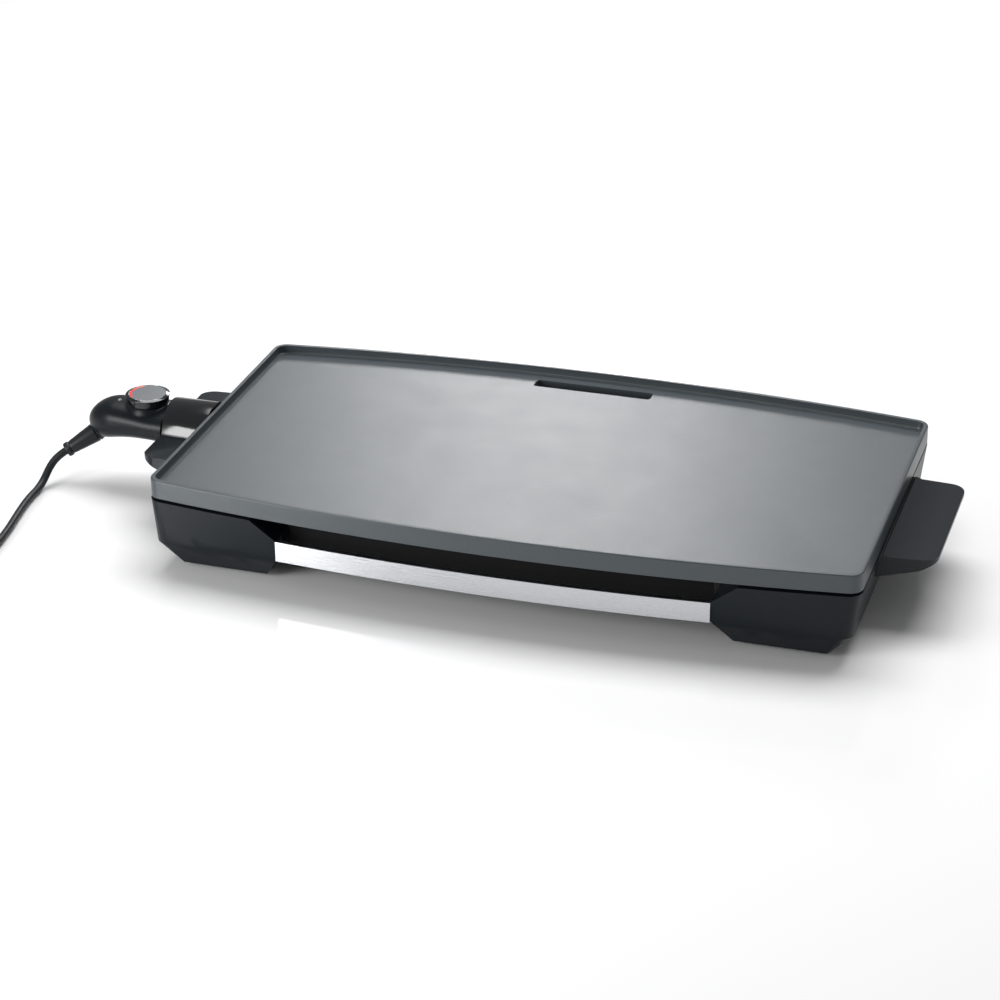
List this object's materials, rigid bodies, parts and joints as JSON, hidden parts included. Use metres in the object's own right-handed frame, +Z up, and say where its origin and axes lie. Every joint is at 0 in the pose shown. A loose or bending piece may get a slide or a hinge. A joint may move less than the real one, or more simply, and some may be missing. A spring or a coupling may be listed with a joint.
{
  "type": "electric griddle",
  "caption": "Long bowed cast griddle plate with a grease slot on a black frame with steel strips, grips, a drip tray and a plug-in thermostat control with its mains lead.",
  "frame": {"origin": "bottom centre of the griddle with its control, on the surface it stands on, measured without the mains lead", "axes": "+X along the long side towards the single grip, +Y to the rear with the grease slot, +Z up"},
  "size_m": [0.8359, 0.4095, 0.0803],
  "materials": {
    "plate_coating": "satin non-stick coating on cast aluminium",
    "element_steel": "drawn stainless tube, slightly heat-tinted",
    "ceramic": "opaque unglazed steatite",
    "frame_plastic": "fine-grained black heat-proof moulding",
    "grip_plastic": "satin black moulding",
    "brushed_strip": "lengthwise brushed stainless",
    "sheet_metal": "aluminised sheet, dull",
    "shield_black": "dull black heat-proof paint on steel sheet",
    "tray_metal": "black enamelled pressing",
    "soft_rubber": "smooth black rubber",
    "gloss_black": "polished black moulding",
    "screw_steel": "zinc-plated steel",
    "control_plastic": "satin black moulding",
    "block_plastic": "brown-black thermoset",
    "contact_brass": "bright brass",
    "lamp_glass": "small neon bulb",
    "lamp_lens": "clear pale lens",
    "dial_print": "grey disc with a warm heat scale",
    "cord_jacket": "round black mains lead",
    "tie_strap": "hook-and-loop strap",
    "pin_plating": "nickel-plated brass"
  },
  "bodies": {
    "root": {"griddle_plate": "plate_coating", "heating_element": "element_steel", "terminal_pins": "element_steel", "terminal_insulators": "ceramic", "left_end_frame": "frame_plastic", "right_end_frame": "frame_plastic", "right_grip": "grip_plastic", "left_grip_front": "grip_plastic", "left_grip_rear": "grip_plastic", "front_trim_strip": "brushed_strip", "rear_trim_strip": "brushed_strip", "heat_shield": "shield_black", "left_tray_rail": "sheet_metal", "right_tray_rail": "sheet_metal", "foot_left_front": "soft_rubber", "foot_left_rear": "soft_rubber", "foot_right_front": "soft_rubber", "foot_right_rear": "soft_rubber", "socket_shroud": "gloss_black", "socket_plate": "sheet_metal", "plate_screws": "screw_steel", "shield_screws": "screw_steel", "grip_screws": "screw_steel", "trim_screws": "screw_steel", "socket_screws": "screw_steel", "rail_rivets": "screw_steel"},
    "control": {"control_lower_shell": "control_plastic", "control_upper_shell": "control_plastic", "control_screws": "screw_steel", "cable_relief": "soft_rubber", "contact_block": "block_plastic", "contact_sleeves": "contact_brass", "probe_rod": "element_steel", "thermostat_bracket": "sheet_metal", "switch_blades": "contact_brass", "stack_insulators": "ceramic", "pilot_lamp": "lamp_glass", "pilot_lens": "lamp_lens", "knob_collar": "control_plastic", "power_cord_lead": "cord_jacket", "power_cord_tail": "cord_jacket", "power_cord_coil": "cord_jacket", "coil_tie": "tie_strap", "plug_body": "soft_rubber", "plug_pins": "pin_plating", "plug_earth_clips": "pin_plating"},
    "knob": {"temperature_knob": "gloss_black", "knob_spindle": "screw_steel", "knob_dial": "dial_print"},
    "tray": {"drip_tray": "tray_metal"}
  },
  "joints": [
    {"name": "control_unplug", "type": "slide", "parent": "root", "child": "control", "axis": [-1, 0, 0], "range_m": [0, 0.12]},
    {"name": "knob_turn", "type": "hinge", "parent": "control", "child": "knob", "pos_m": [-0.3047, 0, 0.0765], "axis": [0, 0, -1], "range_deg": [0, 290]},
    {"name": "tray_slide", "type": "slide", "parent": "root", "child": "tray", "axis": [0, 1, 0], "range_m": [0, 0.13]}
  ]
}
